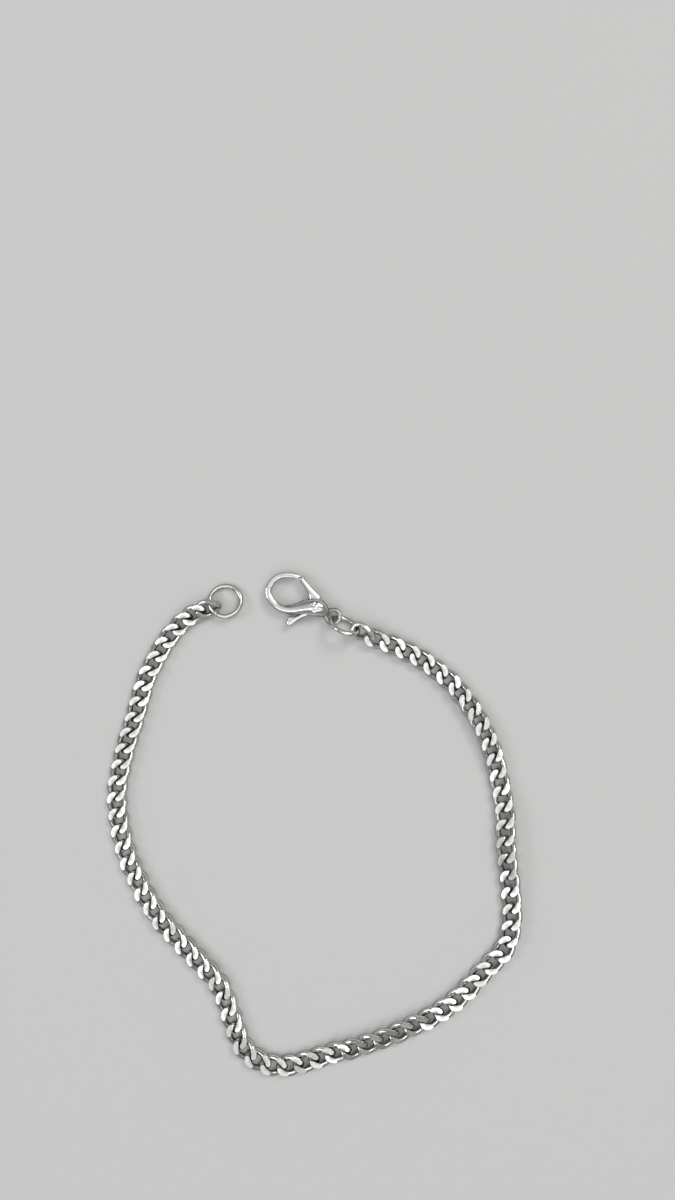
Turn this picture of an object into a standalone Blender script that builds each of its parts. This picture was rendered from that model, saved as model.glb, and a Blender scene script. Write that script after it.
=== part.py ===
"""A curb chain bracelet, unfastened and lying flat: a flat-cut curb chain between two end links,
a lobster clasp with its sprung lever on an oval jump ring at one end, and a round ring at the other.

Lengths in the tables and constants are millimetres. The surface it lies on is z = 0, and the origin
is the middle of the space it covers there.
"""

import math

import bmesh
import bpy
from mathutils import Matrix, Vector

MM = 0.001

# One link of the chain: an oval of round wire, each end twisted out of the plane, then cut flat
LINK_LENGTH = 4.24
LINK_WIDTH = 3.10
LINK_WIRE = 0.86
LINK_TWIST = 48.0
LINK_FULLNESS = 2.3
LINK_HEIGHT = 1.20

# The two rings
END_RING_OUTER = 5.50
END_RING_WIRE = 0.70
JUMP_RING_LENGTH = 5.20
JUMP_RING_WIDTH = 4.30
JUMP_RING_WIRE = 0.70

# The clasp, in its own frame: +X from the hook to the eye, origin at the middle of the hook's mouth
CLASP_PLACE = (-3.96, 34.57, 1.23)
CLASP_TURN = -28.3
CLASP_FLATTEN = 0.87
EYE_CENTRE = (8.18, 0.0)
EYE_OUTER = 2.74
EYE_WIRE = 0.64
RIVET_CENTRE = (4.73, 0.22)
RIVET_RADIUS = 0.40
RIVET_HOLE = 0.43
LEVER_HOLE = 0.48
LEVER_THICK = 0.84
SLOT_THICK = 1.04

# Hook and body as one tapering stem, from the nose round the mouth to the eye
STEM = (
    # x, y, radius
    (0.98, 2.93, 0.36),
    (0.40, 2.80, 0.42),
    (-0.50, 2.55, 0.44),
    (-1.40, 2.08, 0.45),
    (-2.12, 1.35, 0.46),
    (-2.52, 0.45, 0.48),
    (-2.58, -0.55, 0.49),
    (-2.25, -1.45, 0.50),
    (-1.55, -2.12, 0.52),
    (-0.65, -2.50, 0.54),
    (0.35, -2.62, 0.57),
    (1.35, -2.42, 0.64),
    (2.25, -1.98, 0.78),
    (3.05, -1.38, 0.98),
    (3.80, -0.78, 1.20),
    (4.55, -0.28, 1.38),
    (5.30, 0.02, 1.40),
    (6.00, 0.10, 1.24),
    (6.60, 0.06, 0.96),
    (7.10, 0.02, 0.64),
    (7.30, 0.00, 0.42),
)

# Outline of the lever round its pivot: a tapering arm to the nose, a hub, and the thumb tab
LEVER = (
    # x, y, from the mouth's middle
    (1.02, 2.98),
    (0.86, 2.84),
    (0.86, 2.62),
    (1.02, 2.44),
    (2.10, 1.86),
    (3.22, 1.20),
    (3.75, 0.60),
    (3.70, -0.05),
    (3.85, -0.62),
    (3.70, -1.40),
    (3.40, -2.20),
    (2.90, -2.78),
    (2.22, -3.12),
    (2.26, -3.70),
    (2.42, -4.25),
    (2.66, -4.48),
    (2.98, -4.44),
    (3.28, -4.10),
    (3.55, -3.40),
    (4.00, -2.62),
    (4.60, -1.90),
    (5.05, -1.15),
    (5.55, -0.50),
    (5.72, 0.30),
    (5.52, 1.00),
    (5.02, 1.78),
    (4.30, 2.02),
    (3.10, 2.40),
    (1.90, 2.86),
    (1.30, 3.04),
)

# The slot in the clasp clears the lever through its whole swing, and trims the nose to an arc
LEVER_OPENS = 28.0
SLOT_GAP = 0.14
NOSE_ARC = (128.0, 176.0, 4.80)

# Where the end pieces lie: place of the middle, turn about Z, nose-up pitch, roll about its length
JUMP_RING_POSE = ((4.995, 29.300, 1.920), -32.7, 18.1, -54.7)
FIRST_LINK_POSE = ((7.716, 28.274, 1.545), -27.4, -18.4, 39.5)
LAST_LINK_POSE = ((-15.883, 32.003, 1.193), 16.7, -3.8, 27.9)
END_RING_POSE = ((-13.314, 33.126, 0.886), 0.0, -1.4, -11.1)

# The chain's route along the middle of its width, from the jump ring to the end ring
ROUTE = (
    # x, y, roll in degrees
    (7.7, 28.2, 0.0),
    (9.8, 27.4, 0.0),
    (12.0, 26.5, 0.0),
    (16.3, 24.4, 0.0),
    (20.2, 21.5, 0.0),
    (23.3, 17.9, -20.0),
    (25.7, 13.8, -26.0),
    (27.4, 9.4, -12.0),
    (28.4, 4.8, 10.0),
    (28.8, 0.1, 32.0),
    (29.0, -4.6, 32.0),
    (29.5, -9.2, 20.0),
    (29.7, -13.9, 14.0),
    (28.7, -18.4, 8.0),
    (26.3, -21.0, 0.0),
    (23.9, -23.6, -10.0),
    (20.5, -26.8, -12.0),
    (16.4, -29.2, -16.0),
    (12.1, -31.1, -20.0),
    (7.2, -32.9, -20.0),
    (2.2, -34.3, -14.0),
    (-2.3, -35.65, -6.0),
    (-4.7, -36.05, 0.0),
    (-7.0, -35.65, 4.0),
    (-9.0, -34.6, 8.0),
    (-10.5, -32.8, 10.0),
    (-12.2, -28.5, 6.0),
    (-14.0, -24.2, 0.0),
    (-17.2, -20.7, -8.0),
    (-20.5, -17.3, -10.0),
    (-23.6, -13.7, -12.0),
    (-26.1, -9.6, -10.0),
    (-28.1, -5.3, -4.0),
    (-29.3, -0.7, 0.0),
    (-29.7, 4.1, 4.0),
    (-28.9, 8.8, 8.0),
    (-27.0, 15.8, 12.0),
    (-24.7, 22.8, 14.0),
    (-21.0, 29.0, 18.0),
    (-19.2, 30.6, 24.0),
    (-17.4, 31.8, 28.0),
    (-15.6, 32.6, 26.0),
)
ROUTE_SPACING = 2.45
CHAIN_START = 2.50
CHAIN_END = 2.70

METALS = {
    # name: (red, green, blue), roughness
    "polished_chain": ((0.78, 0.78, 0.76), 0.16),
    "polished_clasp": ((0.80, 0.80, 0.78), 0.12),
    "polished_ring": ((0.79, 0.78, 0.75), 0.14),
}


def clear_scene():
    for obj in list(bpy.data.objects):
        bpy.data.objects.remove(obj, do_unlink=True)
    for collection in list(bpy.data.collections):
        bpy.data.collections.remove(collection)


def new_collection(name):
    collection = bpy.data.collections.new(name)
    bpy.context.scene.collection.children.link(collection)
    return collection


def metal(name):
    colour, roughness = METALS[name]
    material = bpy.data.materials.new(name)
    material.use_nodes = True
    shader = material.node_tree.nodes["Principled BSDF"]
    shader.inputs["Base Color"].default_value = (*colour, 1.0)
    shader.inputs["Metallic"].default_value = 1.0
    shader.inputs["Roughness"].default_value = roughness
    return material


def pose_matrix(place, turn, pitch, roll):
    """Turn about Z, then lift the +X end by pitch, then roll about the length."""
    return (
        Matrix.Translation(Vector(place) * MM)
        @ Matrix.Rotation(math.radians(turn), 4, "Z")
        @ Matrix.Rotation(-math.radians(pitch), 4, "Y")
        @ Matrix.Rotation(math.radians(roll), 4, "X")
    )


def smooth_route(stations, spacing):
    """Points at an even spacing on a smooth curve through the stations, each with every column smoothed."""
    dense = []
    count = len(stations)
    for i in range(count - 1):
        before = stations[max(i - 1, 0)]
        after = stations[min(i + 2, count - 1)]
        for step in range(24):
            t = step / 24
            dense.append(
                tuple(
                    0.5
                    * (
                        2 * b
                        + (c - a) * t
                        + (2 * a - 5 * b + 4 * c - d) * t * t
                        + (3 * b - a - 3 * c + d) * t * t * t
                    )
                    for a, b, c, d in zip(before, stations[i], stations[i + 1], after)
                )
            )
    dense.append(tuple(stations[-1]))
    along = [0.0]
    for p, q in zip(dense, dense[1:]):
        along.append(along[-1] + math.dist(p[:2], q[:2]))

    def at(distance):
        i = 0
        while i < len(along) - 2 and along[i + 1] < distance:
            i += 1
        t = (distance - along[i]) / (along[i + 1] - along[i])
        return tuple(a + (b - a) * t for a, b in zip(dense[i], dense[i + 1]))

    return at, along[-1]


def section_outline(width, height, corner, steps=2):
    """Corner points of a flattened oval section, counter-clockwise."""
    points = []
    for quarter in range(4):
        sx, sy = ((1, 1), (-1, 1), (-1, -1), (1, -1))[quarter]
        for step in range(steps + 1):
            angle = math.pi / 2 * (quarter + step / steps)
            points.append(
                (
                    sx * (width / 2 - corner) + corner * math.cos(angle),
                    sy * (height / 2 - corner) + corner * math.sin(angle),
                )
            )
    return points


def loft(name, sections, closed_ends=True):
    """A closed skin over a row of equal sections."""
    mesh = bpy.data.meshes.new(name)
    bm = bmesh.new()
    rings = [[bm.verts.new(Vector(p) * MM) for p in ring] for ring in sections]
    size = len(rings[0])
    for ring, following in zip(rings, rings[1:]):
        for i in range(size):
            j = (i + 1) % size
            bm.faces.new((ring[i], ring[j], following[j], following[i]))
    if closed_ends:
        bm.faces.new(list(reversed(rings[0])))
        bm.faces.new(rings[-1])
    bmesh.ops.recalc_face_normals(bm, faces=bm.faces)
    bm.to_mesh(mesh)
    bm.free()
    return bpy.data.objects.new(name, mesh)


def wire_mesh(name, points, radius, cyclic, bevel_resolution, radii=None):
    """A round wire along the points, made a mesh with its caps welded on."""
    curve = bpy.data.curves.new(name, "CURVE")
    curve.dimensions = "3D"
    curve.bevel_depth = radius * MM
    curve.bevel_resolution = bevel_resolution
    curve.use_fill_caps = not cyclic
    spline = curve.splines.new("POLY")
    spline.points.add(len(points) - 1)
    for i, point in enumerate(points):
        spline.points[i].co = (*(Vector(point) * MM), 1.0)
        spline.points[i].radius = radii[i] / radius if radii else 1.0
    spline.use_cyclic_u = cyclic
    guide = bpy.data.objects.new(name + "_guide", curve)
    bpy.context.scene.collection.objects.link(guide)
    graph = bpy.context.evaluated_depsgraph_get()
    mesh = bpy.data.meshes.new_from_object(guide.evaluated_get(graph))
    bpy.data.objects.remove(guide, do_unlink=True)
    bm = bmesh.new()
    bm.from_mesh(mesh)
    bmesh.ops.remove_doubles(bm, verts=bm.verts, dist=1e-7)
    bmesh.ops.recalc_face_normals(bm, faces=bm.faces)
    bm.to_mesh(mesh)
    bm.free()
    mesh.name = name
    return bpy.data.objects.new(name, mesh)


def plate(name, outline, thickness):
    """A flat outline, thick evenly to both sides of z = 0."""
    curve = bpy.data.curves.new(name, "CURVE")
    curve.dimensions = "2D"
    curve.fill_mode = "BOTH"
    curve.extrude = thickness / 2 * MM
    spline = curve.splines.new("POLY")
    spline.points.add(len(outline) - 1)
    for i, (x, y) in enumerate(outline):
        spline.points[i].co = (x * MM, y * MM, 0.0, 1.0)
    spline.use_cyclic_u = True
    guide = bpy.data.objects.new(name + "_guide", curve)
    bpy.context.scene.collection.objects.link(guide)
    graph = bpy.context.evaluated_depsgraph_get()
    mesh = bpy.data.meshes.new_from_object(guide.evaluated_get(graph))
    bpy.data.objects.remove(guide, do_unlink=True)
    bm = bmesh.new()
    bm.from_mesh(mesh)
    bmesh.ops.remove_doubles(bm, verts=bm.verts, dist=1e-7)
    bmesh.ops.recalc_face_normals(bm, faces=bm.faces)
    bm.to_mesh(mesh)
    bm.free()
    return bpy.data.objects.new(name, mesh)


def round_pin(name, radius, length, sides, dome=0.0):
    """A pin along Z, its ends a little domed."""
    sections = []
    rows = ((-0.5, 0.78), (-0.5 + 0.04, 1.0), (0.5 - 0.04, 1.0), (0.5, 0.78)) if dome else ((-0.5, 1.0), (0.5, 1.0))
    for along, share in rows:
        sections.append(
            [
                (
                    radius * share * math.cos(2 * math.pi * i / sides),
                    radius * share * math.sin(2 * math.pi * i / sides),
                    along * length,
                )
                for i in range(sides)
            ]
        )
    return loft(name, sections)


def boolean(obj, other, operation):
    modifier = obj.modifiers.new(other.name, "BOOLEAN")
    modifier.operation = operation
    modifier.solver = "EXACT"
    modifier.object = other


def apply_modifiers(obj):
    graph = bpy.context.evaluated_depsgraph_get()
    mesh = bpy.data.meshes.new_from_object(obj.evaluated_get(graph))
    obj.modifiers.clear()
    obj.data = mesh


def curb_link(name, parts, steps=40, bevel_resolution=2):
    """One link about its own middle, its length along X, cut flat above and below."""
    a = (LINK_LENGTH - LINK_WIRE) / 2
    b = (LINK_WIDTH - LINK_WIRE) / 2
    points = []
    for i in range(steps):
        t = 2 * math.pi * i / steps
        out = math.radians(LINK_TWIST) * math.cos(t)
        along = a * math.copysign(abs(math.cos(t)) ** (2 / LINK_FULLNESS), math.cos(t))
        across = b * math.copysign(abs(math.sin(t)) ** (2 / LINK_FULLNESS), math.sin(t))
        points.append((along, across * math.cos(out), across * math.sin(out)))
    link = wire_mesh(name, points, LINK_WIRE / 2, True, bevel_resolution)
    parts.objects.link(link)
    bm = bmesh.new()
    bm.from_mesh(link.data)
    for side in (1, -1):
        cut = bmesh.ops.bisect_plane(
            bm,
            geom=bm.verts[:] + bm.edges[:] + bm.faces[:],
            dist=1e-8,
            plane_co=(0, 0, side * LINK_HEIGHT / 2 * MM),
            plane_no=(0, 0, side),
            clear_outer=True,
        )
        edges = [e for e in cut["geom_cut"] if isinstance(e, bmesh.types.BMEdge)]
        bmesh.ops.holes_fill(bm, edges=edges, sides=0)
    bmesh.ops.recalc_face_normals(bm, faces=bm.faces)
    bm.to_mesh(link.data)
    bm.free()
    return link


def oval_ring(name, length, width, wire, steps, bevel_resolution):
    a, b = (length - wire) / 2, (width - wire) / 2
    points = [
        (a * math.cos(2 * math.pi * i / steps), b * math.sin(2 * math.pi * i / steps), 0.0)
        for i in range(steps)
    ]
    return wire_mesh(name, points, wire / 2, True, bevel_resolution)


def slot_outline():
    """The slot seen from above: direction by direction from the rivet, past all that the lever sweeps."""
    around = []
    for (x0, y0), (x1, y1) in zip(LEVER, LEVER[1:] + LEVER[:1]):
        for step in range(12):
            x = x0 + (x1 - x0) * step / 12 - RIVET_CENTRE[0]
            y = y0 + (y1 - y0) * step / 12 - RIVET_CENTRE[1]
            around.append((math.degrees(math.atan2(y, x)) % 360.0, math.hypot(x, y)))
    outline = []
    spacing = 3.0
    for i in range(round(360 / spacing)):
        direction = i * spacing
        reach = 0.0
        for angle, radius in around:
            margin = math.degrees(SLOT_GAP / radius)
            behind = (direction - angle + margin) % 360.0
            if behind <= LEVER_OPENS + 2 * margin:
                reach = max(reach, radius)
        reach += SLOT_GAP
        if NOSE_ARC[0] <= direction <= NOSE_ARC[1]:
            reach = NOSE_ARC[2]
        angle = math.radians(direction)
        outline.append(
            (RIVET_CENTRE[0] + reach * math.cos(angle), RIVET_CENTRE[1] + reach * math.sin(angle))
        )
    return outline


def build_chain(parts):
    at, length = smooth_route(ROUTE, ROUTE_SPACING)
    usable = length - CHAIN_START - CHAIN_END
    count = round(usable / ROUTE_SPACING)
    outline = section_outline(LINK_WIDTH, LINK_HEIGHT, 0.45)
    sections = []
    for i in range(count + 1):
        here = CHAIN_START + usable * i / count
        x, y, roll = at(here)
        x0, y0, _ = at(here - 0.4)
        x1, y1, _ = at(here + 0.4)
        heading = math.atan2(y1 - y0, x1 - x0)
        lean = math.radians(roll)
        ring = [
            (u * math.cos(lean) - w * math.sin(lean), u * math.sin(lean) + w * math.cos(lean))
            for u, w in outline
        ]
        floor = min(w for _, w in ring)
        sections.append(
            [(x - math.sin(heading) * u, y + math.cos(heading) * u, w - floor) for u, w in ring]
        )
    chain = loft("chain", sections)
    parts.objects.link(chain)
    chain.data.materials.append(metal("polished_chain"))
    return chain


def build_end_pieces(parts):
    for name, pose in (("first_link", FIRST_LINK_POSE), ("last_link", LAST_LINK_POSE)):
        link = curb_link(name, parts)
        link.data.materials.append(metal("polished_chain"))
        link.matrix_world = pose_matrix(*pose)
    jump = oval_ring("jump_ring", JUMP_RING_LENGTH, JUMP_RING_WIDTH, JUMP_RING_WIRE, 36, 3)
    parts.objects.link(jump)
    jump.data.materials.append(metal("polished_ring"))
    jump.matrix_world = pose_matrix(*JUMP_RING_POSE)
    ring = oval_ring("end_ring", END_RING_OUTER, END_RING_OUTER, END_RING_WIRE, 40, 3)
    parts.objects.link(ring)
    ring.data.materials.append(metal("polished_ring"))
    ring.matrix_world = pose_matrix(*END_RING_POSE)


def build_clasp(parts, cutters):
    clasp = bpy.data.objects.new("clasp_frame", None)
    parts.objects.link(clasp)
    clasp.matrix_world = pose_matrix(CLASP_PLACE, CLASP_TURN, 0.0, 0.0)
    pivot = bpy.data.objects.new("lever_axis", None)
    parts.objects.link(pivot)
    pivot.parent = clasp
    pivot.location = (RIVET_CENTRE[0] * MM, RIVET_CENTRE[1] * MM, 0.0)

    # Hook and body, flattened a little, with the eye joined on
    widest = max(radius for _, _, radius in STEM)
    at, length = smooth_route(STEM, 0.5)
    count = 46
    rows = [at(length * i / count) for i in range(count + 1)]
    body = wire_mesh(
        "clasp_body",
        [(x, y, 0.0) for x, y, _ in rows],
        widest,
        False,
        4,
        [radius for _, _, radius in rows],
    )
    for vertex in body.data.vertices:
        vertex.co.z *= CLASP_FLATTEN
    parts.objects.link(body)
    eye = oval_ring("eye_shape", EYE_OUTER, EYE_OUTER, EYE_WIRE, 32, 3)
    cutters.objects.link(eye)
    eye.location = (EYE_CENTRE[0] * MM, EYE_CENTRE[1] * MM, 0.0)
    slot = plate("slot_shape", slot_outline(), SLOT_THICK)
    cutters.objects.link(slot)
    hole = round_pin("rivet_hole_shape", RIVET_HOLE, 4.0, 20)
    cutters.objects.link(hole)
    hole.location = (RIVET_CENTRE[0] * MM, RIVET_CENTRE[1] * MM, 0.0)
    for helper in (eye, slot, hole):
        helper.hide_render = True
        helper.display_type = "WIRE"
    boolean(body, eye, "UNION")
    boolean(body, slot, "DIFFERENCE")
    boolean(body, hole, "DIFFERENCE")
    body.data.materials.append(metal("polished_clasp"))

    # The lever: a plate about the rivet, with its edges eased
    lever = plate(
        "clasp_lever",
        [(x - RIVET_CENTRE[0], y - RIVET_CENTRE[1]) for x, y in LEVER],
        LEVER_THICK,
    )
    parts.objects.link(lever)
    lever_hole = round_pin("lever_hole_shape", LEVER_HOLE, 4.0, 20)
    cutters.objects.link(lever_hole)
    lever_hole.hide_render = True
    lever_hole.display_type = "WIRE"
    boolean(lever, lever_hole, "DIFFERENCE")
    lever.data.materials.append(metal("polished_clasp"))

    rivet = round_pin("clasp_rivet", RIVET_RADIUS, 2.40, 20, dome=1.0)
    parts.objects.link(rivet)
    rivet.data.materials.append(metal("polished_clasp"))

    bpy.context.view_layer.update()
    for obj in (eye, slot, hole, body):
        obj.parent = clasp
    for obj in (lever, lever_hole, rivet):
        obj.parent = pivot


clear_scene()
parts = new_collection("curb_chain_bracelet")
cutters = new_collection("cutting_shapes")
cutters.hide_render = True
build_chain(parts)
build_end_pieces(parts)
build_clasp(parts, cutters)
bpy.context.view_layer.update()
for obj in parts.objects:
    if obj.type == "MESH":
        obj.data.shade_smooth()
        obj.data.set_sharp_from_angle(angle=math.radians(40))
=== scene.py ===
"""The looks of a flat-cut curb chain bracelet with a lobster clasp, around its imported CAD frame.

Lengths in the tables and helpers are millimetres, as in the CAD; meshes are made in metres.
"""
import math

import bmesh
import bpy
import numpy as np
from mathutils import Matrix, Vector
from mathutils.geometry import delaunay_2d_cdt


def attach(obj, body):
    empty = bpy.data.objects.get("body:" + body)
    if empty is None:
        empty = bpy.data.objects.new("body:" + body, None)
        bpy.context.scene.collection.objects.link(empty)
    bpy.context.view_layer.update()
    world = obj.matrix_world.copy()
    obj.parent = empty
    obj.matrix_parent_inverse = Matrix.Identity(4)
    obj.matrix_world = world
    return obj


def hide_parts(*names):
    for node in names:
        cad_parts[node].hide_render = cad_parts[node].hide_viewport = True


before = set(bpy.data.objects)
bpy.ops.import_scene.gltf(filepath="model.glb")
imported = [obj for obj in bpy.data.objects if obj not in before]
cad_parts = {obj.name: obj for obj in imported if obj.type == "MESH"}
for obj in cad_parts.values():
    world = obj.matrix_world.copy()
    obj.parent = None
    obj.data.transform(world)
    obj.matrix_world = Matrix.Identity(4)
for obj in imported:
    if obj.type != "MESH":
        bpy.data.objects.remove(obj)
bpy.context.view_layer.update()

MM = 0.001

# ---------------------------------------------------------------- sizes, as in the CAD

LINK_LENGTH = 4.24
LINK_WIDTH = 3.10
LINK_WIRE = 0.86
LINK_TWIST = 48.0
LINK_FULLNESS = 2.3
LINK_HEIGHT = 1.20
LINK_PITCH = 2.475

END_RING_OUTER = 5.50
END_RING_WIRE = 0.70
JUMP_RING_LENGTH = 5.20
JUMP_RING_WIDTH = 4.30
JUMP_RING_WIRE = 0.70

CLASP_PLACE = (-3.96, 34.57, 1.23)
CLASP_TURN = -28.3
CLASP_FLATTEN = 0.87
EYE_CENTRE = (8.18, 0.0)
EYE_OUTER = 2.74
EYE_WIRE = 0.64
RIVET_CENTRE = (4.73, 0.22)
RIVET_RADIUS = 0.40
RIVET_HOLE = 0.43
LEVER_HOLE = 0.48
LEVER_THICK = 0.84
SLOT_THICK = 1.04
LEVER_OPENS = 28.0
SLOT_GAP = 0.14
NOSE_ARC = (128.0, 176.0, 4.80)

# Hook and body as one tapering stem, from the nose round the mouth to the eye
STEM = (
    # x, y, radius, squareness of its section
    (0.98, 2.93, 0.36, 2.6),
    (0.40, 2.80, 0.42, 2.9),
    (-0.50, 2.55, 0.44, 3.2),
    (-1.40, 2.08, 0.45, 3.4),
    (-2.12, 1.35, 0.46, 3.4),
    (-2.52, 0.45, 0.48, 3.4),
    (-2.58, -0.55, 0.49, 3.4),
    (-2.25, -1.45, 0.50, 3.2),
    (-1.55, -2.12, 0.52, 3.0),
    (-0.65, -2.50, 0.54, 2.8),
    (0.35, -2.62, 0.57, 2.6),
    (1.35, -2.42, 0.64, 2.4),
    (2.25, -1.98, 0.78, 2.3),
    (3.05, -1.38, 0.98, 2.2),
    (3.80, -0.78, 1.20, 2.1),
    (4.55, -0.28, 1.38, 2.1),
    (5.30, 0.02, 1.40, 2.1),
    (6.00, 0.10, 1.24, 2.1),
    (6.60, 0.06, 0.96, 2.1),
    (7.10, 0.02, 0.64, 2.1),
    (7.30, 0.00, 0.42, 2.1),
)

LEVER = (
    # x, y, from the mouth's middle
    (1.02, 2.98),
    (0.86, 2.84),
    (0.86, 2.62),
    (1.02, 2.44),
    (2.10, 1.86),
    (3.22, 1.20),
    (3.75, 0.60),
    (3.70, -0.05),
    (3.85, -0.62),
    (3.70, -1.40),
    (3.40, -2.20),
    (2.90, -2.78),
    (2.22, -3.12),
    (2.26, -3.70),
    (2.42, -4.25),
    (2.66, -4.48),
    (2.98, -4.44),
    (3.28, -4.10),
    (3.55, -3.40),
    (4.00, -2.62),
    (4.60, -1.90),
    (5.05, -1.15),
    (5.55, -0.50),
    (5.72, 0.30),
    (5.52, 1.00),
    (5.02, 1.78),
    (4.30, 2.02),
    (3.10, 2.40),
    (1.90, 2.86),
    (1.58, 3.00),
    (1.48, 3.20),
    (1.28, 3.27),
    (1.12, 3.18),
)

JUMP_RING_POSE = ((4.995, 29.300, 1.920), -32.7, 18.1, -54.7)
FIRST_LINK_POSE = ((7.716, 28.274, 1.545), -27.4, -18.4, 39.5)
LAST_LINK_POSE = ((-15.883, 32.003, 1.193), 16.7, -3.8, 27.9)
END_RING_POSE = ((-13.314, 33.126, 0.886), 0.0, -1.4, -11.1)

ROUTE = (
    # x, y, roll in degrees
    (7.7, 28.2, 0.0),
    (9.8, 27.4, 0.0),
    (12.0, 26.5, 0.0),
    (16.3, 24.4, 0.0),
    (20.2, 21.5, 0.0),
    (23.3, 17.9, -20.0),
    (25.7, 13.8, -26.0),
    (27.4, 9.4, -12.0),
    (28.4, 4.8, 10.0),
    (28.8, 0.1, 32.0),
    (29.0, -4.6, 32.0),
    (29.5, -9.2, 20.0),
    (29.7, -13.9, 14.0),
    (28.7, -18.4, 8.0),
    (26.3, -21.0, 0.0),
    (23.9, -23.6, -10.0),
    (20.5, -26.8, -12.0),
    (16.4, -29.2, -16.0),
    (12.1, -31.1, -20.0),
    (7.2, -32.9, -20.0),
    (2.2, -34.3, -14.0),
    (-2.3, -35.65, -6.0),
    (-4.7, -36.05, 0.0),
    (-7.0, -35.65, 4.0),
    (-9.0, -34.6, 8.0),
    (-10.5, -32.8, 10.0),
    (-12.2, -28.5, 6.0),
    (-14.0, -24.2, 0.0),
    (-17.2, -20.7, -8.0),
    (-20.5, -17.3, -10.0),
    (-23.6, -13.7, -12.0),
    (-26.1, -9.6, -10.0),
    (-28.1, -5.3, -4.0),
    (-29.3, -0.7, 0.0),
    (-29.7, 4.1, 4.0),
    (-28.9, 8.8, 8.0),
    (-27.0, 15.8, 12.0),
    (-24.7, 22.8, 14.0),
    (-21.0, 29.0, 18.0),
    (-19.5, 30.05, 24.0),
    (-17.95, 31.2, 28.0),
    (-15.88, 32.0, 28.0),
)

# ---------------------------------------------------------------- shape helpers


def pose_matrix(place, turn, pitch, roll):
    """Turn about Z, then lift the +X end by pitch, then roll about the length."""
    return (
        Matrix.Translation(Vector(place) * MM)
        @ Matrix.Rotation(math.radians(turn), 4, "Z")
        @ Matrix.Rotation(-math.radians(pitch), 4, "Y")
        @ Matrix.Rotation(math.radians(roll), 4, "X")
    )


def smooth_route(stations):
    """A smooth curve through the stations, every column smoothed, read by distance along it."""
    dense = []
    count = len(stations)
    for i in range(count - 1):
        before = stations[max(i - 1, 0)]
        after = stations[min(i + 2, count - 1)]
        for step in range(24):
            t = step / 24
            dense.append(
                tuple(
                    0.5
                    * (
                        2 * b
                        + (c - a) * t
                        + (2 * a - 5 * b + 4 * c - d) * t * t
                        + (3 * b - a - 3 * c + d) * t * t * t
                    )
                    for a, b, c, d in zip(before, stations[i], stations[i + 1], after)
                )
            )
    dense.append(tuple(stations[-1]))
    along = [0.0]
    for p, q in zip(dense, dense[1:]):
        along.append(along[-1] + math.dist(p[:2], q[:2]))

    def at(distance):
        i = 0
        while i < len(along) - 2 and along[i + 1] < distance:
            i += 1
        t = (distance - along[i]) / (along[i + 1] - along[i])
        return tuple(a + (b - a) * t for a, b in zip(dense[i], dense[i + 1]))

    return at, along[-1]


def skin(bm, sections, cyclic, capped):
    """Quads between equal rings of points, in mm."""
    rings = [[bm.verts.new(Vector(p) * MM) for p in ring] for ring in sections]
    size = len(rings[0])
    pairs = list(zip(rings, rings[1:]))
    if cyclic:
        pairs.append((rings[-1], rings[0]))
    for ring, following in pairs:
        for i in range(size):
            j = (i + 1) % size
            bm.faces.new((ring[i], ring[j], following[j], following[i]))
    if capped:
        bm.faces.new(list(reversed(rings[0])))
        bm.faces.new(rings[-1])
    bmesh.ops.recalc_face_normals(bm, faces=bm.faces)


def object_from(name, bm, sharp_deg=35.0):
    mesh = bpy.data.meshes.new(name)
    bm.to_mesh(mesh)
    bm.free()
    mesh.shade_smooth()
    mesh.set_sharp_from_angle(angle=math.radians(sharp_deg))
    obj = bpy.data.objects.new(name, mesh)
    bpy.context.scene.collection.objects.link(obj)
    return obj


def boolean(obj, other, operation):
    modifier = obj.modifiers.new(other.name, "BOOLEAN")
    modifier.operation = operation
    modifier.solver = "EXACT"
    modifier.object = other


def apply_modifiers(obj, sharp_deg=35.0):
    graph = bpy.context.evaluated_depsgraph_get()
    mesh = bpy.data.meshes.new_from_object(obj.evaluated_get(graph))
    obj.modifiers.clear()
    obj.data = mesh
    mesh.shade_smooth()
    mesh.set_sharp_from_angle(angle=math.radians(sharp_deg))


def remove(obj):
    bpy.data.objects.remove(obj, do_unlink=True)


# ---------------------------------------------------------------- the curb link

LINK_A = (LINK_LENGTH - LINK_WIRE) / 2
LINK_B = (LINK_WIDTH - LINK_WIRE) / 2


def link_line(count):
    """Points along the middle of a link's wire: an oval whose ends are twisted out of its plane."""
    t = np.arange(count) * 2 * np.pi / count
    c, s = np.cos(t), np.sin(t)
    out = np.radians(LINK_TWIST) * c
    along = LINK_A * np.sign(c) * np.abs(c) ** (2 / LINK_FULLNESS)
    across = LINK_B * np.sign(s) * np.abs(s) ** (2 / LINK_FULLNESS)
    return np.stack([along, across * np.cos(out), across * np.sin(out)], 1)


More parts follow.
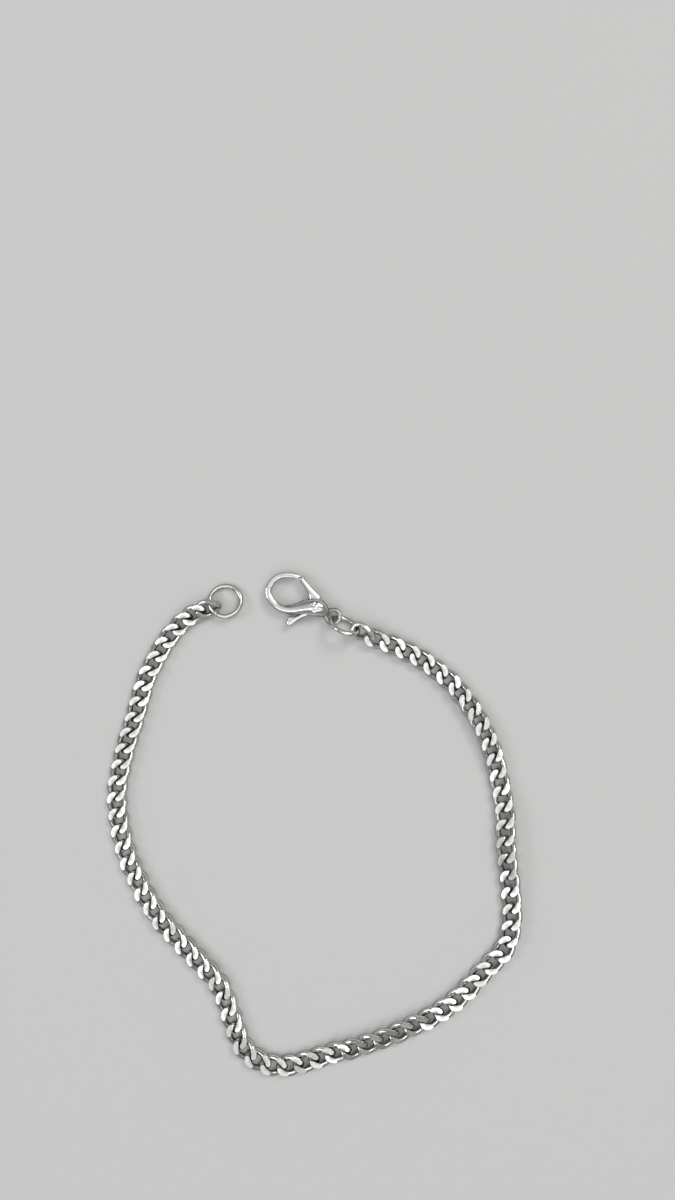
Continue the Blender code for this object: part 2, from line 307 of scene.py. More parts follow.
def link_bmesh(steps=60, sides=16, ease=0.035):
    """One link: round wire swept along its line, cut flat above and below, the cut's edge eased."""
    line = link_line(steps)
    tangent = np.roll(line, -1, 0) - np.roll(line, 1, 0)
    tangent /= np.linalg.norm(tangent, axis=1)[:, None]
    outward = line - (line * tangent).sum(1)[:, None] * tangent
    outward /= np.linalg.norm(outward, axis=1)[:, None]
    across = np.cross(tangent, outward)
    sections = []
    for p, u, v in zip(line, outward, across):
        sections.append(
            [
                tuple(p + LINK_WIRE / 2 * (math.cos(a) * u + math.sin(a) * v))
                for a in (2 * math.pi * k / sides for k in range(sides))
            ]
        )
    bm = bmesh.new()
    skin(bm, sections, True, False)
    for side in (1, -1):
        cut = bmesh.ops.bisect_plane(
            bm,
            geom=bm.verts[:] + bm.edges[:] + bm.faces[:],
            dist=1e-8,
            plane_co=(0, 0, side * LINK_HEIGHT / 2 * MM),
            plane_no=(0, 0, side),
            clear_outer=True,
        )
        edges = [e for e in cut["geom_cut"] if isinstance(e, bmesh.types.BMEdge)]
        bmesh.ops.holes_fill(bm, edges=edges, sides=0)
    bmesh.ops.remove_doubles(bm, verts=bm.verts, dist=4e-6)
    bmesh.ops.recalc_face_normals(bm, faces=bm.faces)
    rim = [
        e
        for e in bm.edges
        if len(e.link_faces) == 2
        and any(len(f.verts) > 6 for f in e.link_faces)
        and e.calc_face_angle(0.0) > math.radians(12)
    ]
    bmesh.ops.bevel(
        bm, geom=rim, offset=ease * MM, segments=2, profile=0.5, affect="EDGES", clamp_overlap=True
    )
    bmesh.ops.recalc_face_normals(bm, faces=bm.faces)
    return bm


def shade_recess(points):
    """How far each point of a link sits towards the inside of its loop, 0 to 1."""
    line = link_line(120)
    gaps = np.linalg.norm(points[:, None] - line[None], axis=2)
    nearest = line[gaps.argmin(1)]
    away = points - nearest
    away /= np.maximum(np.linalg.norm(away, axis=1), 1e-6)[:, None]
    inward = -nearest / np.linalg.norm(nearest, axis=1)[:, None]
    facing = (away * inward).sum(1)
    return np.clip((facing - 0.05) / 0.85, 0.0, 1.0)


# ---------------------------------------------------------------- the chain at rest


def turn_matrices(turn, pitch, roll):
    ca, sa = math.cos(turn), math.sin(turn)
    cb, sb = math.cos(pitch), math.sin(pitch)
    cc, sc = math.cos(roll), math.sin(roll)
    rz = np.array([[ca, -sa, 0], [sa, ca, 0], [0, 0, 1]])
    ry = np.array([[cb, 0, -sb], [0, 1, 0], [sb, 0, cb]])
    rx = np.array([[1, 0, 0], [0, cc, -sc], [0, sc, cc]])
    return rz @ ry @ rx


def lay_chain(link_points):
    """Places of all links: along the route, hooked into each other without touching, on the surface."""
    at, length = smooth_route(ROUTE)
    count = round(length / LINK_PITCH) + 1
    pitch = length / (count - 1)
    rng = np.random.default_rng(11)
    goals = []
    for i in range(count):
        here = i * pitch
        x, y, roll = at(here)
        x0, y0, _ = at(here - 0.8)
        x1, y1, _ = at(here + 0.8)
        turn = math.atan2(y1 - y0, x1 - x0)
        goals.append(
            [
                x,
                y,
                0.75,
                turn + rng.normal() * math.radians(1.0),
                rng.normal() * math.radians(2.0),
                math.radians(roll) + rng.normal() * math.radians(4.5),
            ]
        )
    first = (*FIRST_LINK_POSE[0], *(math.radians(a) for a in FIRST_LINK_POSE[1:]))
    last = (*LAST_LINK_POSE[0], *(math.radians(a) for a in LAST_LINK_POSE[1:]))
    # the last link's turn is measured the way the route runs
    goals[0] = list(first)
    goals[-1] = list(last)
    goals[1][:3] = [9.847, 27.147, 1.112]
    goals[1][3:] = [math.radians(a) for a in (-33.6, -4.5, 15.1)]
    goals[2][2] = 0.95
    goals[-2][:3] = [-17.915, 31.246, 1.174]
    goals[-2][3:] = [math.radians(a) for a in (24.4, 5.0, 33.7)]
    goals = np.array(goals)
    line = link_line(44)
    hull = link_points[np.linspace(0, len(link_points) - 1, 260).astype(int)]

    def placed(pose):
        matrix = turn_matrices(*pose[3:])
        return line @ matrix.T + pose[:3], (hull @ matrix.T)[:, 2].min() + pose[2]

    def gap(p, q):
        difference = p[:, None] - q[None]
        return math.sqrt((difference * difference).sum(2).min())

    poses = goals.copy()
    state = [placed(p) for p in poses]
    for i in range(1, count - 1):
        poses[i, 2] -= min(state[i][1], 0.3) if abs(i - count / 2) < count / 2 - 4 else 0.0
        state[i] = placed(poses[i])
    clear = LINK_WIRE + 0.012

    def cost(i, pose, now, firm):
        total = 0.0
        for j in (i - 1, i + 1):
            short = clear - gap(now[0], state[j][0])
            if short > 0:
                total += firm * short * short
        if now[1] < 0.004:
            total += firm * (0.004 - now[1]) ** 2
        total += 0.35 * pose[2]
        away = pose - goals[i]
        total += 2.2 * (away[0] ** 2 + away[1] ** 2)
        total += 2.5 * away[3] ** 2 + 1.5 * away[4] ** 2 + 1.2 * away[5] ** 2
        return total

    sizes = np.array([0.06, 0.06, 0.06, 0.05, 0.05, 0.09])

    def settle(sweeps, largest, least, firm, only=None):
        for sweep in range(sweeps):
            scale = largest + (least - largest) * sweep / sweeps
            for i in only or range(1, count - 1):
                before = cost(i, poses[i], state[i], firm)
                for _ in range(2):
                    trial = poses[i] + rng.normal(size=6) * sizes * scale
                    now = placed(trial)
                    after = cost(i, trial, now, firm)
                    if after < before:
                        poses[i], state[i], before = trial, now, after

    settle(190, 1.0, 0.08, 3000)
    for _ in range(4):
        close = set()
        for i in range(count - 1):
            if gap(state[i][0], state[i + 1][0]) < LINK_WIRE + 0.004:
                close.update(range(i - 2, i + 4))
        close = sorted(i for i in close if 0 < i < count - 1)
        if close:
            settle(170, 0.6, 0.03, 40000, close)
    gaps = [gap(state[i][0], state[i + 1][0]) - LINK_WIRE for i in range(count - 1)]
    floors = [s[1] for s in state]
    print(
        "chain: %d links, route %.1f mm, pitch %.3f, least gap %.3f, mean gap %.3f, floor %.3f to %.3f"
        % (count, length, pitch, min(gaps), sum(gaps) / len(gaps), min(floors), max(floors))
    )
    return poses


# ---------------------------------------------------------------- materials


def polished_metal(name, colour, dull, roughness, recess_shade_and_tarnish, painted_reflection_straight_on=1.0, recess_shade_strength=1.0):
    """Polished metal: slow tone changes, fine polishing scratches, tiny pits, recesses duller and darker with
    painted shade and some tarnish, and painted shade where the surface turns away and a painted dark reflection
    where it faces the eye straight on.
    """
    material = bpy.data.materials.new(name)
    material.use_nodes = True
    tree = material.node_tree
    nodes, links = tree.nodes, tree.links
    shader = nodes["Principled BSDF"]
    shader.inputs["Metallic"].default_value = 1.0

    def node(kind, **inputs):
        n = nodes.new(kind)
        for key, value in inputs.items():
            n.inputs[key.replace("_", " ")].default_value = value
        return n

    coords = nodes.new("ShaderNodeTexCoord")
    shade = nodes.new("ShaderNodeAttribute")
    shade.attribute_name = "shade"
    parts = nodes.new("ShaderNodeSeparateColor")
    links.new(shade.outputs["Color"], parts.inputs["Color"])

    slow = node("ShaderNodeTexNoise", Scale=420.0, Detail=3.0, Roughness=0.55)
    links.new(coords.outputs["Object"], slow.inputs["Vector"])
    fine = node("ShaderNodeTexNoise", Scale=7000.0, Detail=4.0, Roughness=0.6)
    links.new(coords.outputs["Object"], fine.inputs["Vector"])
    turned = nodes.new("ShaderNodeMapping")
    turned.inputs["Rotation"].default_value = (0.4, 0.2, 0.7)
    turned.inputs["Scale"].default_value = (30000.0, 1800.0, 9000.0)
    links.new(coords.outputs["Object"], turned.inputs["Vector"])
    scratch = node("ShaderNodeTexNoise", Scale=1.0, Detail=2.0, Roughness=0.5)
    links.new(turned.outputs["Vector"], scratch.inputs["Vector"])

    # colour: bright metal to its duller tone, then darker in the recesses with painted shade and some tarnish
    tone = nodes.new("ShaderNodeValToRGB")
    tone.color_ramp.elements[0].position = 0.30
    tone.color_ramp.elements[0].color = (*dull, 1.0)
    tone.color_ramp.elements[1].position = 0.62
    tone.color_ramp.elements[1].color = (*colour, 1.0)
    links.new(slow.outputs["Fac"], tone.inputs["Fac"])
    recess_shade_mix = nodes.new("ShaderNodeMix")
    recess_shade_mix.data_type = "RGBA"
    recess_shade_mix.blend_type = "MIX"
    recess_shade_mix.inputs["B"].default_value = (*recess_shade_and_tarnish, 1.0)
    links.new(tone.outputs["Color"], recess_shade_mix.inputs["A"])
    depth = nodes.new("ShaderNodeMath")
    depth.operation = "MULTIPLY"
    depth.inputs[1].default_value = 0.85 * recess_shade_strength
    links.new(parts.outputs["Red"], depth.inputs[0])
    links.new(depth.outputs["Value"], recess_shade_mix.inputs["Factor"])
    each = nodes.new("ShaderNodeMix")
    each.data_type = "RGBA"
    each.blend_type = "MULTIPLY"
    each.inputs["Factor"].default_value = 1.0
    lift = nodes.new("ShaderNodeMapRange")
    lift.inputs["To Min"].default_value = 0.86
    lift.inputs["To Max"].default_value = 1.06
    links.new(parts.outputs["Green"], lift.inputs["Value"])
    links.new(recess_shade_mix.outputs["Result"], each.inputs["A"])
    links.new(lift.outputs["Result"], each.inputs["B"])
    # painted shade: darker where the surface turns away, and a painted dark reflection a little where it faces the
    # eye straight on
    facing = nodes.new("ShaderNodeLayerWeight")
    facing.inputs["Blend"].default_value = 0.5
    turned_away = nodes.new("ShaderNodeMapRange")
    turned_away.interpolation_type = "SMOOTHSTEP"
    turned_away.inputs["From Min"].default_value = 0.18
    turned_away.inputs["From Max"].default_value = 0.72
    turned_away.inputs["To Min"].default_value = 1.0
    turned_away.inputs["To Max"].default_value = 0.22
    links.new(facing.outputs["Facing"], turned_away.inputs["Value"])
    front = nodes.new("ShaderNodeMapRange")
    front.interpolation_type = "SMOOTHSTEP"
    front.inputs["From Min"].default_value = 0.008
    front.inputs["From Max"].default_value = 0.085
    front.inputs["To Min"].default_value = painted_reflection_straight_on
    front.inputs["To Max"].default_value = 1.0
    links.new(facing.outputs["Facing"], front.inputs["Value"])
    both = nodes.new("ShaderNodeMath")
    both.operation = "MULTIPLY"
    links.new(turned_away.outputs["Result"], both.inputs[0])
    links.new(front.outputs["Result"], both.inputs[1])
    edge = nodes.new("ShaderNodeMix")
    edge.data_type = "RGBA"
    edge.blend_type = "MULTIPLY"
    edge.inputs["Factor"].default_value = 1.0
    links.new(each.outputs["Result"], edge.inputs["A"])
    links.new(both.outputs["Value"], edge.inputs["B"])
    links.new(edge.outputs["Result"], shader.inputs["Base Color"])

    # roughness: polished, with smears, and dull in the recesses
    rough = nodes.new("ShaderNodeMapRange")
    rough.inputs["From Min"].default_value = 0.35
    rough.inputs["From Max"].default_value = 0.70
    rough.inputs["To Min"].default_value = roughness * 0.8
    rough.inputs["To Max"].default_value = roughness * 1.4
    links.new(fine.outputs["Fac"], rough.inputs["Value"])
    dulled = nodes.new("ShaderNodeMath")
    dulled.operation = "MULTIPLY_ADD"
    dulled.inputs[1].default_value = 0.28
    links.new(parts.outputs["Red"], dulled.inputs[0])
    links.new(rough.outputs["Result"], dulled.inputs[2])
    links.new(dulled.outputs["Value"], shader.inputs["Roughness"])

    # bump: polishing scratches and fine pits
    grain = nodes.new("ShaderNodeMath")
    grain.operation = "MULTIPLY_ADD"
    grain.inputs[1].default_value = 0.6
    links.new(scratch.outputs["Fac"], grain.inputs[0])
    links.new(fine.outputs["Fac"], grain.inputs[2])
    bump = nodes.new("ShaderNodeBump")
    bump.inputs["Strength"].default_value = 0.10
    bump.inputs["Distance"].default_value = 0.00002
    links.new(grain.outputs["Value"], bump.inputs["Height"])
    links.new(bump.outputs["Normal"], shader.inputs["Normal"])
    return material


def paint_shade(obj, recess, tone):
    """Red: how recessed each point is, which sets the painted shade and tarnish of the recesses. Green: the tone
    of its piece.
    """
    attribute = obj.data.color_attributes.new(name="shade", type="FLOAT_COLOR", domain="POINT")
    values = np.ones((len(obj.data.vertices), 4), np.float32)
    values[:, 0] = recess
    values[:, 1] = tone
    values[:, 2] = 0.0
    attribute.data.foreach_set("color", values.ravel())


def mesh_points(obj):
    co = np.zeros(len(obj.data.vertices) * 3)
    obj.data.vertices.foreach_get("co", co)
    return co.reshape(-1, 3) / MM


# the dark colour given to each metal is the painted shade and tarnish of its recesses
CHAIN_METAL = polished_metal(
    "chain_polished_metal", (0.88, 0.88, 0.86), (0.74, 0.735, 0.71), 0.13, (0.20, 0.19, 0.17)
)
# the clasp's and ring's last number sets how dark their painted reflection straight on is
CLASP_METAL = polished_metal(
    "clasp_polished_metal", (0.90, 0.90, 0.88), (0.78, 0.775, 0.75), 0.12, (0.22, 0.21, 0.19), 0.66
)
RING_METAL = polished_metal(
    "ring_polished_metal", (0.86, 0.85, 0.80), (0.74, 0.73, 0.68), 0.13, (0.24, 0.23, 0.19), 0.80
)

# ---------------------------------------------------------------- pieces: chain

base = link_bmesh()
base_mesh = bpy.data.meshes.new("curb_link")
base.to_mesh(base_mesh)
base.free()
base_points = np.zeros(len(base_mesh.vertices) * 3)
base_mesh.vertices.foreach_get("co", base_points)
base_points = base_points.reshape(-1, 3) / MM
# painted shade with some tarnish on the inner side of each link's wire
base_recess = shade_recess(base_points)
poses = lay_chain(base_points)
tones = np.random.default_rng(5).random(len(poses))


def link_object(name, indexes):
    """One mesh of the links at those places."""
    faces = [tuple(p.vertices) for p in base_mesh.polygons]
    size = len(base_points)
    all_points, all_faces, recess, tone = [], [], [], []
    for n, i in enumerate(indexes):
        matrix = turn_matrices(*poses[i][3:])
        all_points.append((base_points @ matrix.T + poses[i][:3]) * MM)
        all_faces += [tuple(v + n * size for v in face) for face in faces]
        recess.append(base_recess)
        tone.append(np.full(size, tones[i]))
    mesh = bpy.data.meshes.new(name)
    mesh.from_pydata(np.concatenate(all_points).tolist(), [], all_faces)
    mesh.update()
    mesh.shade_smooth()
    mesh.set_sharp_from_angle(angle=math.radians(30))
    for polygon in mesh.polygons:
        if len(polygon.vertices) > 12:
            polygon.use_smooth = False
    obj = bpy.data.objects.new(name, mesh)
    bpy.context.scene.collection.objects.link(obj)
    paint_shade(obj, np.concatenate(recess), np.concatenate(tone))
    mesh.materials.append(CHAIN_METAL)
    return obj


for name, node_name, indexes in (
    ("curb_chain_links", "chain", range(1, len(poses) - 1)),
    ("first_curb_link", "first_link", [0]),
    ("last_curb_link", "last_link", [len(poses) - 1]),
):
    piece = link_object(name, list(indexes))
    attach(piece, "bracelet")
    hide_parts(node_name)

# ---------------------------------------------------------------- pieces: rings


def ring_object(name, length, width, wire, pose, seam_deg, steps=120, sides=24, gap=0.02):
    """A bent wire ring with its hairline joint."""
    a, b = (length - wire) / 2, (width - wire) / 2
    start = math.radians(seam_deg) + gap / 2 / a
    end = math.radians(seam_deg) + 2 * math.pi - gap / 2 / a
    sections = []
    for i in range(steps + 1):
        t = start + (end - start) * i / steps
        p = np.array([a * math.cos(t), b * math.sin(t), 0.0])
        u = np.array([b * math.cos(t), a * math.sin(t), 0.0])
        u /= np.linalg.norm(u)
        # the cut ends are eased a little
        reach = wire / 2 * (0.965 if i in (0, steps) else 1.0)
        sections.append(
            [
                tuple(p + reach * (math.cos(k) * u + math.sin(k) * np.array([0, 0, 1.0])))
                for k in (2 * math.pi * j / sides for j in range(sides))
            ]
        )
        if i in (0, steps - 1):
            # a second ring just inside the end keeps the easing short
            t2 = start + 0.03 / a if i == 0 else end - 0.03 / a
            p = np.array([a * math.cos(t2), b * math.sin(t2), 0.0])
            u = np.array([b * math.cos(t2), a * math.sin(t2), 0.0])
            u /= np.linalg.norm(u)
            sections.append(
                [
                    tuple(p + wire / 2 * (math.cos(k) * u + math.sin(k) * np.array([0, 0, 1.0])))
                    for k in (2 * math.pi * j / sides for j in range(sides))
                ]
            )
    bm = bmesh.new()
    skin(bm, sections, False, True)
    obj = object_from(name, bm, 50)
    points = mesh_points(obj)
    # painted shade with some tarnish on the inner side of the wire
    inward = 1.0 - np.hypot(points[:, 0] / a, points[:, 1] / b)
    recess = np.clip(inward / (wire / 2 / min(a, b)) - 0.55, 0.0, 1.0)
    obj.data.transform(pose_matrix(*pose))
    paint_shade(obj, recess, np.full(len(points), 0.6))
    obj.data.materials.append(RING_METAL)
    return obj


jump = ring_object(
    "clasp_jump_ring", JUMP_RING_LENGTH, JUMP_RING_WIDTH, JUMP_RING_WIRE, JUMP_RING_POSE, 250
)
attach(jump, "bracelet")
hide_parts("jump_ring")
ring = ring_object(
    "round_end_ring", END_RING_OUTER, END_RING_OUTER, END_RING_WIRE, END_RING_POSE, 236
)
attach(ring, "bracelet")
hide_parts("end_ring")

# ---------------------------------------------------------------- pieces: clasp


def section_at(p, direction, radius, square, sides):
    """A rounded section across a stem that runs in the clasp's plane."""
    side = np.array([-direction[1], direction[0], 0.0])
    up = np.array([0.0, 0.0, 1.0])
    points = []
    for k in range(sides):
        a = 2 * math.pi * k / sides
        c, s = math.cos(a), math.sin(a)
        w = math.copysign(abs(c) ** (2 / square), c) * radius
        h = math.copysign(abs(s) ** (2 / square), s) * radius * CLASP_FLATTEN
        points.append(tuple(p + w * side + h * up))
    return points


def clasp_body_object():
    at, length = smooth_route(STEM)
    count = 120
    sides = 36
    sections = []
    for i in range(count + 1):
        here = length * i / count
        x, y, radius, square = at(here)
        x0, y0, _, _ = at(max(here - 0.1, 0.0))
        x1, y1, _, _ = at(min(here + 0.1, length))
        d = np.array([x1 - x0, y1 - y0])
        d /= np.linalg.norm(d)
        sections.append(section_at(np.array([x, y, 0.0]), d, radius, square, sides))
    bm = bmesh.new()
    skin(bm, sections, False, True)
    body = object_from("clasp_hook_body", bm)

    bm = bmesh.new()
    major, minor = (EYE_OUTER - EYE_WIRE) / 2, EYE_WIRE / 2
    rings = []
    for i in range(72):
        t = 2 * math.pi * i / 72
        out = np.array([math.cos(t), math.sin(t), 0.0])
        p = np.array([EYE_CENTRE[0], EYE_CENTRE[1], 0.0]) + major * out
        rings.append(
            [
                tuple(p + minor * (math.cos(k) * out + math.sin(k) * np.array([0, 0, 1.0])))
                for k in (2 * math.pi * j / 20 for j in range(20))
            ]
        )
    skin(bm, rings, True, False)
    eye = object_from("eye_shape", bm)
    slot = prism("slot_shape", slot_outline(), SLOT_THICK)
    hole = prism("hole_shape", circle(RIVET_CENTRE, RIVET_HOLE, 40), 4.0)
    boolean(body, eye, "UNION")
    boolean(body, slot, "DIFFERENCE")
    boolean(body, hole, "DIFFERENCE")
    apply_modifiers(body)
    for helper in (eye, slot, hole):
        remove(helper)
    return body


def circle(centre, radius, count):
    return [
        (
            centre[0] + radius * math.cos(2 * math.pi * i / count),
            centre[1] + radius * math.sin(2 * math.pi * i / count),
        )
        for i in range(count)
    ]


def prism(name, outline, thickness):
    bm = bmesh.new()
    skin(
        bm,
        [
            [(x, y, -thickness / 2) for x, y in outline],
            [(x, y, thickness / 2) for x, y in outline],
        ],
        False,
        True,
    )
    return object_from(name, bm)


def slot_outline():
    """The slot seen from above: direction by direction from the rivet, past all that the lever sweeps."""
    around = []
    for (x0, y0), (x1, y1) in zip(LEVER, LEVER[1:] + LEVER[:1]):
        for step in range(12):
            x = x0 + (x1 - x0) * step / 12 - RIVET_CENTRE[0]
            y = y0 + (y1 - y0) * step / 12 - RIVET_CENTRE[1]
            around.append((math.degrees(math.atan2(y, x)) % 360.0, math.hypot(x, y)))
    outline = []
    spacing = 3.0
    for i in range(round(360 / spacing)):
        direction = i * spacing
        reach = 0.0
        for angle, radius in around:
            margin = math.degrees(SLOT_GAP / radius)
            behind = (direction - angle + margin) % 360.0
            if behind <= LEVER_OPENS + 2 * margin:
                reach = max(reach, radius)
        reach += SLOT_GAP
        if NOSE_ARC[0] <= direction <= NOSE_ARC[1]:
            reach = NOSE_ARC[2]
        angle = math.radians(direction)
        outline.append(
            (RIVET_CENTRE[0] + reach * math.cos(angle), RIVET_CENTRE[1] + reach * math.sin(angle))
        )
    return outline


def rounded(outline, steps=6):
    """The outline with each corner passed smoothly."""
    points = []
    count = len(outline)
    for i in range(count):
        a, b, c, d = (outline[(i + k) % count] for k in (-1, 0, 1, 2))
        for step in range(steps):
            t = step / steps
            points.append(
                tuple(
                    0.5
                    * (
                        2 * q
                        + (r - p) * t
                        + (2 * p - 5 * q + 4 * r - s) * t * t
                        + (3 * q - p - 3 * r + s) * t * t * t
                    )
                    for p, q, r, s in zip(a, b, c, d)
                )
            )
    return points


def lever_object():
    """The lever as cast: its faces swell from a rounded edge towards the middle, and it is bored for the rivet."""
    outline = np.array(rounded(LEVER, 5))
    start, along = outline, np.roll(outline, -1, 0) - outline

    def from_edge(points):
        t = ((points[:, None] - start[None]) * along[None]).sum(2) / (along * along).sum(1)[None]
        nearest = start[None] + np.clip(t, 0.0, 1.0)[:, :, None] * along[None]
        return np.linalg.norm(points[:, None] - nearest, axis=2).min(1)

    def inside(points):
        x, y = points[:, 0][:, None], points[:, 1][:, None]
        x0, y0 = start[None, :, 0], start[None, :, 1]
        x1, y1 = x0 + along[None, :, 0], y0 + along[None, :, 1]
        across = (y0 > y) != (y1 > y)
        rise = np.where(y1 == y0, 1.0, y1 - y0)
        return (across & (x < x0 + (y - y0) * (x1 - x0) / rise)).sum(1) % 2 == 1

    hole = np.array(circle(RIVET_CENTRE, LEVER_HOLE, 40))
    chord = np.roll(outline, -1, 0) - np.roll(outline, 1, 0)
    chord /= np.linalg.norm(chord, axis=1)[:, None]
    normal = np.stack([-chord[:, 1], chord[:, 0]], 1)
    if inside(outline + 0.02 * normal).mean() < 0.5:
        normal = -normal
    inner = []
    for depth in (0.025, 0.06, 0.11, 0.18, 0.27):
        ring = outline + depth * normal
        ring = ring[inside(ring)]
        inner.append(ring[from_edge(ring) > 0.97 * depth])
    low, high = outline.min(0), outline.max(0)
    xs, ys = np.arange(low[0], high[0], 0.13), np.arange(low[1], high[1], 0.13)
    grid = np.array([(x, y) for x in xs for y in ys])
    grid = grid[inside(grid)]
    inner.append(grid[from_edge(grid) > 0.33])
    inner = np.concatenate(inner)
    inner = inner[np.linalg.norm(inner - RIVET_CENTRE, axis=1) > LEVER_HOLE + 0.06]
    flat = np.concatenate([outline, hole, inner])
    n, h = len(outline), len(hole)
    loops = [(i, (i + 1) % n) for i in range(n)] + [(n + i, n + (i + 1) % h) for i in range(h)]
    points, _, faces, _, _, _ = delaunay_2d_cdt([Vector(p) for p in flat], loops, [], 0, 1e-6, True)
    assert len(points) == len(flat)
    points = np.array([(p.x, p.y) for p in points])
    middles = np.array([points[list(face)].mean(0) for face in faces])
    keep = inside(middles) & (np.linalg.norm(middles - RIVET_CENTRE, axis=1) > LEVER_HOLE)
    swell = np.clip(from_edge(points) / 0.42, 0.0, 1.0)
    height = LEVER_THICK / 2 * (0.34 + 0.66 * np.sqrt(1.0 - (1.0 - swell) ** 2.2))
    bm = bmesh.new()
    top = [bm.verts.new(Vector((x, y, z)) * MM) for (x, y), z in zip(points, height)]
    bottom = [bm.verts.new(Vector((x, y, -z)) * MM) for (x, y), z in zip(points, height)]
    for face, wanted in zip(faces, keep):
        if wanted:
            bm.faces.new([top[i] for i in face])
            bm.faces.new([bottom[i] for i in reversed(face)])
    for i, j in loops:
        bm.faces.new((top[i], top[j], bottom[j], bottom[i]))
    for v in [v for v in bm.verts if not v.link_faces]:
        bm.verts.remove(v)
    bmesh.ops.recalc_face_normals(bm, faces=bm.faces)
    return object_from("clasp_thumb_lever", bm, 50)


def rivet_object():
    """The rivet: a plain shank with a low domed head each side."""
    profile = [(0.0, -1.215), (0.20, -1.205), (0.32, -1.175), (0.385, -1.13), (RIVET_RADIUS, -1.07)]
    profile += [(RIVET_RADIUS, 1.07), (0.385, 1.13), (0.32, 1.175), (0.20, 1.205), (0.0, 1.215)]
    sections = []
    for radius, z in profile:
        reach = max(radius, 0.02)
        sections.append([(x, y, z) for x, y in circle(RIVET_CENTRE, reach, 40)])
    bm = bmesh.new()
    skin(bm, sections, False, True)
    return object_from("clasp_pin_rivet", bm)


clasp_matrix = pose_matrix(CLASP_PLACE, CLASP_TURN, 0.0, 0.0)
body = clasp_body_object()
points = mesh_points(body)
from_rivet = np.hypot(points[:, 0] - RIVET_CENTRE[0], points[:, 1] - RIVET_CENTRE[1])
# painted shade: darker inside the slot and round the inner side of the eye next to the body
in_slot = (np.abs(points[:, 2]) < SLOT_THICK / 2 + 0.01) & (from_rivet < 4.3)
in_slot &= np.abs(points[:, 2]) > 0.0
near_eye = np.clip(1.0 - np.abs(np.hypot(points[:, 0] - EYE_CENTRE[0], points[:, 1]) - 0.9) / 0.5, 0, 1)
recess = np.where(in_slot, 0.8, 0.0)
recess = np.maximum(recess, 0.35 * near_eye * (points[:, 0] < 7.6))
body.data.transform(clasp_matrix)
paint_shade(body, recess, np.full(len(points), 0.7))
body.data.materials.clear()
body.data.materials.append(CLASP_METAL)
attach(body, "bracelet")
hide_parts("clasp_body")

lever = lever_object()
points = mesh_points(lever)
lever.data.transform(clasp_matrix)
paint_shade(lever, np.zeros(len(points)), np.full(len(points), 0.6))
lever.data.materials.clear()
lever.data.materials.append(CLASP_METAL)
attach(lever, "lever")
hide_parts("clasp_lever")

rivet = rivet_object()
points = mesh_points(rivet)
rivet.data.transform(clasp_matrix)
# painted shade on the rivet's shank, down in its hole
paint_shade(rivet, np.clip((np.abs(points[:, 2]) < 1.1) * 1.0, 0, 1), np.full(len(points), 0.4))
rivet.data.materials.append(CLASP_METAL)
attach(rivet, "bracelet")
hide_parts("clasp_rivet")

# ---------------------------------------------------------------- floor, light, camera

floor_mesh = bpy.data.meshes.new("pale_floor")
half = 4.0
floor_mesh.from_pydata(
    [(-half, -half, 0), (half, -half, 0), (half, half, 0), (-half, half, 0)], [], [(0, 1, 2, 3)]
)
floor = bpy.data.objects.new("pale_floor", floor_mesh)
floor.location.z = -0.00001
bpy.context.scene.collection.objects.link(floor)
floor_material = bpy.data.materials.new("pale_floor")
floor_material.use_nodes = True
shader = floor_material.node_tree.nodes["Principled BSDF"]
shader.inputs["Base Color"].default_value = (0.61, 0.61, 0.605, 1.0)
shader.inputs["Roughness"].default_value = 0.75
shader.inputs["Specular IOR Level"].default_value = 0.2
floor_mesh.materials.append(floor_material)

world = bpy.data.worlds.new("studio")
bpy.context.scene.world = world
world.use_nodes = True
tree = world.node_tree
background = tree.nodes["Background"]
coords = tree.nodes.new("ShaderNodeTexCoord")
split = tree.nodes.new("ShaderNodeSeparateXYZ")
ramp = tree.nodes.new("ShaderNodeValToRGB")
tree.links.new(coords.outputs["Generated"], split.inputs["Vector"])
tree.links.new(split.outputs["Z"], ramp.inputs["Fac"])
tree.links.new(ramp.outputs["Color"], background.inputs["Color"])
stops = ((0.0, 0.55), (0.10, 0.45), (0.32, 0.20), (0.70, 0.24), (0.86, 0.55), (0.95, 1.0), (1.0, 1.1))
while len(ramp.color_ramp.elements) < len(stops):
    ramp.color_ramp.elements.new(0.5)
for element, (position, value) in zip(ramp.color_ramp.elements, stops):
    element.position = position
    element.color = (value, value, value * 1.01, 1.0)
background.inputs["Strength"].default_value = 1.0


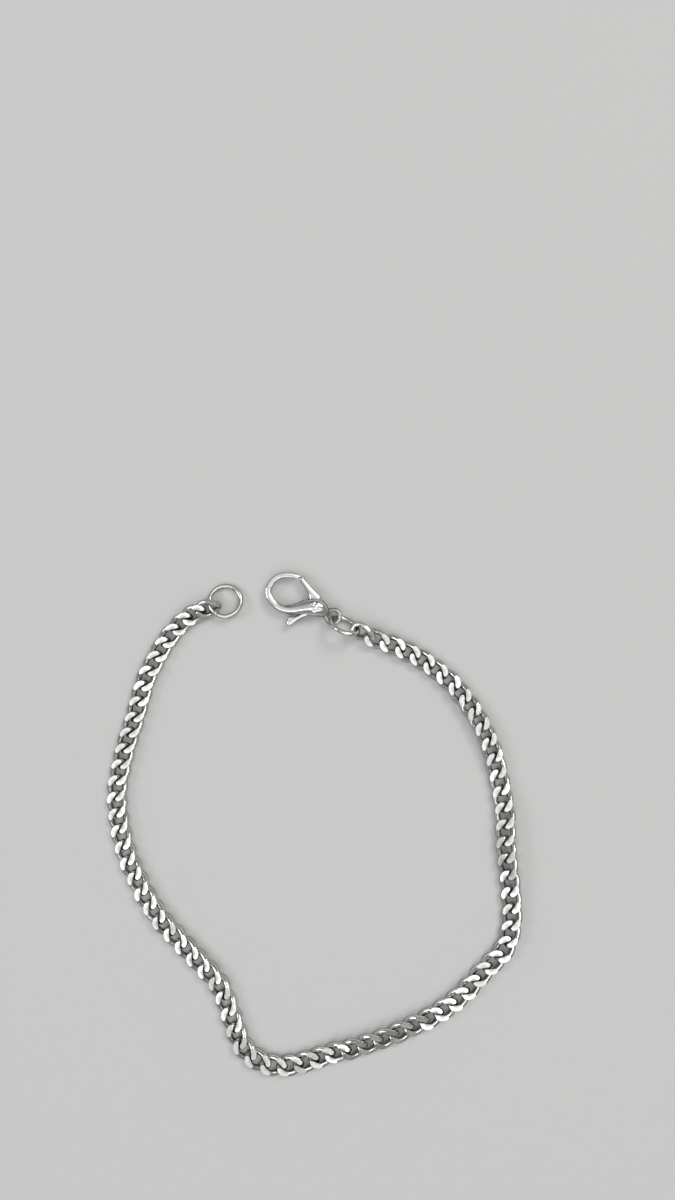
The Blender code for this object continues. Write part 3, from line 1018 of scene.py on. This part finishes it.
def softbox(name, azimuth, off_zenith, distance, width, height, watts, colour=(1.0, 1.0, 1.0)):
    """An area light that faces the object's middle. Azimuth runs anticlockwise from +X, seen from above."""
    light = bpy.data.lights.new(name, "AREA")
    light.shape = "RECTANGLE"
    light.size = width
    light.size_y = height
    light.energy = watts
    light.color = colour
    obj = bpy.data.objects.new(name, light)
    a, z = math.radians(azimuth), math.radians(off_zenith)
    away = Vector((math.cos(a) * math.sin(z), math.sin(a) * math.sin(z), math.cos(z)))
    obj.location = away * distance
    obj.rotation_euler = away.to_track_quat("Z", "Y").to_euler()
    bpy.context.scene.collection.objects.link(obj)


for name, azimuth, off_zenith, width, height, radiance, colour in (
    ("overhead_softbox", 60, 15, 0.34, 0.34, 1.7, (1.0, 1.0, 1.0)),
    ("key_softbox", 45, 44, 0.50, 0.40, 6.5, (1.0, 0.985, 0.96)),
    ("left_softbox", 178, 54, 0.50, 0.40, 4.5, (0.97, 0.985, 1.0)),
    ("front_left_softbox", 226, 30, 0.30, 0.44, 1.5, (1.0, 1.0, 1.0)),
    ("front_low_softbox", 263, 46, 0.36, 0.42, 1.8, (1.0, 1.0, 1.0)),
    ("front_softbox", 298, 34, 0.40, 0.24, 1.9, (1.0, 1.0, 1.0)),
    ("right_softbox", 338, 29, 0.20, 0.40, 1.6, (1.0, 0.99, 0.97)),
    ("overhead_front_softbox", 282, 12, 0.26, 0.30, 1.4, (1.0, 1.0, 1.0)),
):
    watts = radiance * math.pi * width * height
    softbox(name, azimuth, off_zenith, 1.2, width, height, watts, colour)

bpy.context.scene.view_settings.view_transform = "Standard"

# camera: almost straight above the upper middle of the loop, as the photograph was taken
CAMERA_PLACE = (10.33, 24.9, 143.0)
CAMERA_TILT = 4.247
TILT_TOWARDS = (-0.611, 0.791)
FOCAL_PX = 936.0
tilt = math.radians(CAMERA_TILT)
forward = Vector(
    (math.sin(tilt) * TILT_TOWARDS[0], math.sin(tilt) * TILT_TOWARDS[1], -math.cos(tilt))
)
right = forward.cross(Vector((0, 1, 0))).normalized()
up = right.cross(forward)
camera = bpy.data.cameras.new("camera")
camera.sensor_fit = "AUTO"
camera.sensor_width = 36.0
camera.lens = FOCAL_PX / 1200.0 * 36.0
camera.clip_start = 0.005
camera.clip_end = 20.0
camera_object = bpy.data.objects.new("camera", camera)
matrix = Matrix((right, up, -forward)).transposed().to_4x4()
matrix.translation = Vector(CAMERA_PLACE) * MM
camera_object.matrix_world = matrix
bpy.context.scene.collection.objects.link(camera_object)
bpy.context.scene.camera = camera_object
